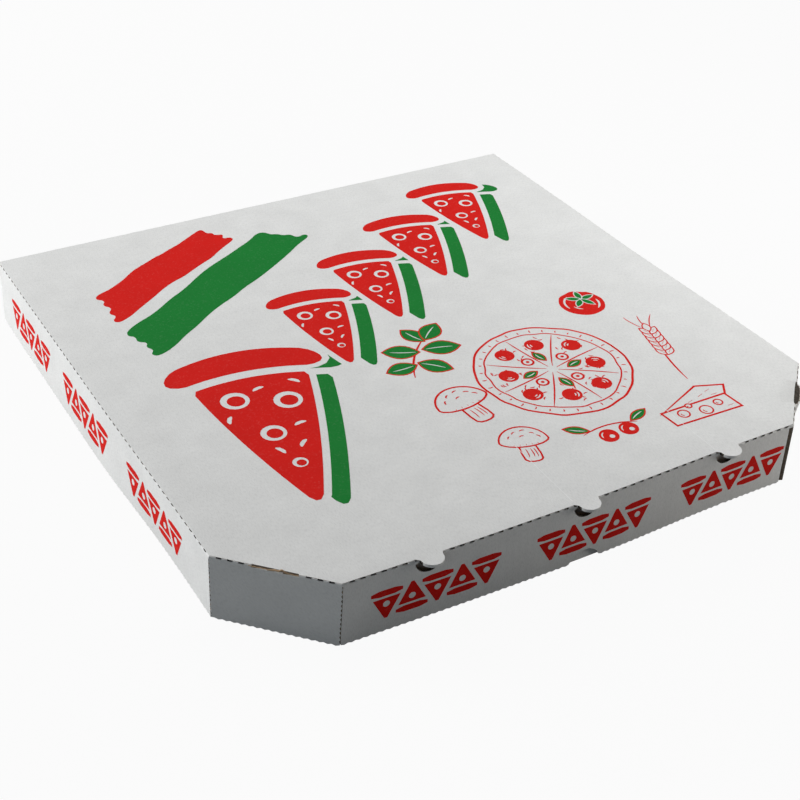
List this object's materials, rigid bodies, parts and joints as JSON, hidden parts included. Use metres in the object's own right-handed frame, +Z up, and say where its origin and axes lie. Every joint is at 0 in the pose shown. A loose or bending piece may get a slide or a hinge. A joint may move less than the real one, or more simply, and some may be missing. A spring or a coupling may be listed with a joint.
{
  "type": "pizza box",
  "caption": "Flat square take-away pizza box of corrugated board, closed, with slanted front corners and a hinged lid.",
  "frame": {"origin": "middle of the footprint, half-round tabs included, on the surface the box stands on", "axes": "+Z up, front flap faces -Y, hinge crease at +Y along X, +X to the right seen from the front"},
  "size_m": [0.33, 0.3382, 0.035],
  "materials": {
    "tray_board": "matte",
    "lid_board": "matte"
  },
  "bodies": {
    "tray": {"tray": "tray_board"},
    "lid": {"lid": "lid_board"}
  },
  "joints": [
    {"name": "lid_hinge", "type": "hinge", "parent": "tray", "child": "lid", "pos_m": [0, 0.1691, 0.035], "axis": [-1, 0, 0], "range_deg": [0, 180]}
  ]
}
